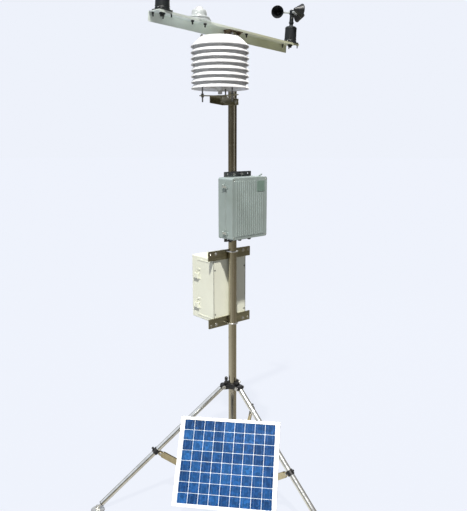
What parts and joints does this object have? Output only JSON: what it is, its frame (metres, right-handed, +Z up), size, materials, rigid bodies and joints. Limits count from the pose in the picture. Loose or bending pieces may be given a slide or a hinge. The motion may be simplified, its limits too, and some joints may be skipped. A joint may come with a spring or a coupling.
{
  "type": "tripod weather station",
  "caption": "Tripod weather station: mast with wind and sun sensors on a crossarm, louvred shield, logger and battery boxes, tilting solar panel and folding braced tripod.",
  "frame": {"origin": "on the mast's axis, at the ground under its base plug", "axes": "+Z up along the mast, -Y to the front, where the solar panel stands, +X to the right seen from the front"},
  "size_m": [1.1609, 1.1774, 2.3965],
  "materials": {
    "mast_steel": "polished, warm brown reflections",
    "leg_steel": "bright polished",
    "bar_steel": "brushed",
    "fastener_steel": "semi-gloss",
    "rod_steel": "threaded, dull",
    "arm_paint": "satin",
    "clamp_steel": "polished",
    "sensor_black": "satin black",
    "black_plastic": "matt",
    "cup_plastic": "satin",
    "sun_metal": "satin",
    "dome_glass": "clear gloss",
    "shield_white": "semi-gloss white",
    "probe_white": "matt",
    "logger_paint": "painted satin",
    "plate_green": "matt, blank",
    "latch_metal": "satin",
    "bracket_dark": "dull",
    "board_green": "satin",
    "box_cream": "satin",
    "battery_case": "satin",
    "controller_blue": "satin",
    "panel_white": "satin, pale",
    "cell_blue": "gloss",
    "bracket_alloy": "brushed",
    "foot_metal": "satin",
    "brace_steel": "brushed"
  },
  "bodies": {
    "station": {"mast_tube": "mast_steel", "mast_base_plug": "black_plastic", "lower_collar": "black_plastic", "crossarm": "arm_paint", "arm_clamp": "clamp_steel", "arm_u_bolts": "fastener_steel", "vane_body": "sensor_black", "vane_flange": "sensor_black", "cup_body": "sensor_black", "cup_flange": "sensor_black", "sun_base": "sun_metal", "sun_body": "sun_metal", "sun_dome": "dome_glass", "shield_cap": "shield_white", "shield_louvres": "shield_white", "shield_base_plate": "shield_white", "shield_rods": "rod_steel", "shield_support_plate": "bar_steel", "shield_bracket": "bar_steel", "shield_u_bolt": "fastener_steel", "shield_probe": "probe_white", "logger_base": "logger_paint", "logger_board": "board_green", "logger_brackets": "bracket_dark", "logger_u_bolts": "fastener_steel", "battery_box_body": "box_cream", "battery_bars": "bar_steel", "battery_u_bolts": "fastener_steel", "battery": "battery_case", "charge_controller": "controller_blue", "cable_glands": "black_plastic", "panel_arm": "bracket_alloy"},
    "vane": {"vane_rotor": "sensor_black", "vane_tail": "cup_plastic"},
    "cup_wheel": {"cup_rotor": "sensor_black", "cups": "cup_plastic"},
    "logger_door": {"logger_lid": "logger_paint", "logger_nameplate": "plate_green"},
    "logger_catch_top": {"logger_latch_top": "latch_metal"},
    "logger_catch_bottom": {"logger_latch_bottom": "latch_metal"},
    "battery_door": {"battery_door": "box_cream"},
    "battery_catch_top": {"battery_latch_top": "box_cream"},
    "battery_catch_bottom": {"battery_latch_bottom": "box_cream"},
    "panel": {"panel_frame": "panel_white", "panel_laminate": "cell_blue", "panel_junction_box": "black_plastic", "panel_bracket": "bracket_alloy"},
    "hub": {"hub": "black_plastic"},
    "leg_1": {"leg_1": "leg_steel", "leg_fittings_1": "black_plastic"},
    "foot_1": {"foot_1": "foot_metal"},
    "brace_1": {"brace_1": "brace_steel"},
    "leg_2": {"leg_2": "leg_steel", "leg_fittings_2": "black_plastic"},
    "foot_2": {"foot_2": "foot_metal"},
    "brace_2": {"brace_2": "brace_steel"},
    "leg_3": {"leg_3": "leg_steel", "leg_fittings_3": "black_plastic"},
    "foot_3": {"foot_3": "foot_metal"},
    "brace_3": {"brace_3": "brace_steel"}
  },
  "joints": [
    {"name": "vane_spin", "type": "hinge", "parent": "station", "child": "vane", "pos_m": [-0.2619, -0.29874, 2.30099], "axis": [0.0454, 0, 0.999], "continuous": true},
    {"name": "cup_spin", "type": "hinge", "parent": "station", "child": "cup_wheel", "pos_m": [0.27896, 0.2738, 2.27643], "axis": [0.0454, 0, 0.999], "continuous": true},
    {"name": "logger_lid_hinge", "type": "hinge", "parent": "station", "child": "logger_door", "pos_m": [0.13074, 0.01581, 1.442], "axis": [0, 0, 1], "range_deg": [0, 110]},
    {"name": "logger_latch_top_hinge", "type": "hinge", "parent": "station", "child": "logger_catch_top", "pos_m": [-0.0401, -0.12709, 1.538], "axis": [0, 0, -1], "range_deg": [0, 100]},
    {"name": "logger_latch_bottom_hinge", "type": "hinge", "parent": "station", "child": "logger_catch_bottom", "pos_m": [-0.0401, -0.12709, 1.336], "axis": [0, 0, -1], "range_deg": [0, 100]},
    {"name": "battery_door_hinge", "type": "hinge", "parent": "station", "child": "battery_door", "pos_m": [-0.01453, 0.18362, 1.0485], "axis": [0, 0, -1], "range_deg": [0, 110]},
    {"name": "battery_latch_top_hinge", "type": "hinge", "parent": "station", "child": "battery_catch_top", "pos_m": [-0.16364, 0.04022, 1.1045], "axis": [0, 0, 1], "range_deg": [0, 100]},
    {"name": "battery_latch_bottom_hinge", "type": "hinge", "parent": "station", "child": "battery_catch_bottom", "pos_m": [-0.16364, 0.04022, 0.9605], "axis": [0, 0, 1], "range_deg": [0, 100]},
    {"name": "panel_tilt", "type": "hinge", "parent": "station", "child": "panel", "pos_m": [-0.03177, -0.2319, 0.28586], "axis": [0.9907, -0.1357, 0], "range_deg": [-10, 20]},
    {"name": "hub_slide", "type": "slide", "parent": "station", "child": "hub", "axis": [0, 0, 1], "range_m": [0, 0.133]},
    {"name": "leg_1_fold", "type": "hinge", "parent": "hub", "child": "leg_1", "pos_m": [-0.04572, -0.01089, 0.5694], "axis": [0.2317, -0.9728, 0], "range_deg": [0, 11.7]},
    {"name": "brace_1_swing", "type": "hinge", "parent": "leg_1", "child": "brace_1", "pos_m": [-0.34814, -0.08294, 0.25698], "axis": [0.2317, -0.9728, 0], "range_deg": [-26.4, 0]},
    {"name": "foot_1_swivel", "type": "hinge", "parent": "leg_1", "child": "foot_1", "pos_m": [-0.64398, -0.15342, 0.014], "axis": [0.2317, -0.9728, 0], "range_deg": [-20, 20]},
    {"name": "leg_2_fold", "type": "hinge", "parent": "hub", "child": "leg_2", "pos_m": [0.03229, -0.03415, 0.5694], "axis": [0.7266, 0.6871, 0], "range_deg": [0, 11.7]},
    {"name": "brace_2_swing", "type": "hinge", "parent": "leg_2", "child": "brace_2", "pos_m": [0.2459, -0.26003, 0.25698], "axis": [0.7266, 0.6871, 0], "range_deg": [-26.4, 0]},
    {"name": "foot_2_swivel", "type": "hinge", "parent": "leg_2", "child": "foot_2", "pos_m": [0.45485, -0.48099, 0.014], "axis": [0.7266, 0.6871, 0], "range_deg": [-20, 20]},
    {"name": "leg_3_fold", "type": "hinge", "parent": "hub", "child": "leg_3", "pos_m": [0.01343, 0.04504, 0.5694], "axis": [-0.9583, 0.2857, 0], "range_deg": [0, 11.7]},
    {"name": "brace_3_swing", "type": "hinge", "parent": "leg_3", "child": "brace_3", "pos_m": [0.10224, 0.34297, 0.25698], "axis": [-0.9583, 0.2857, 0], "range_deg": [-26.4, 0]},
    {"name": "foot_3_swivel", "type": "hinge", "parent": "leg_3", "child": "foot_3", "pos_m": [0.18913, 0.63441, 0.014], "axis": [-0.9583, 0.2857, 0], "range_deg": [-20, 20]}
  ],
  "couplings": [
    {"joint": "leg_1_fold", "follows": "hub_slide", "rad_per_m": 1.5307},
    {"joint": "brace_1_swing", "follows": "hub_slide", "rad_per_m": -3.4554},
    {"joint": "leg_2_fold", "follows": "hub_slide", "rad_per_m": 1.5307},
    {"joint": "brace_2_swing", "follows": "hub_slide", "rad_per_m": -3.4554},
    {"joint": "leg_3_fold", "follows": "hub_slide", "rad_per_m": 1.5307},
    {"joint": "brace_3_swing", "follows": "hub_slide", "rad_per_m": -3.4554}
  ]
}
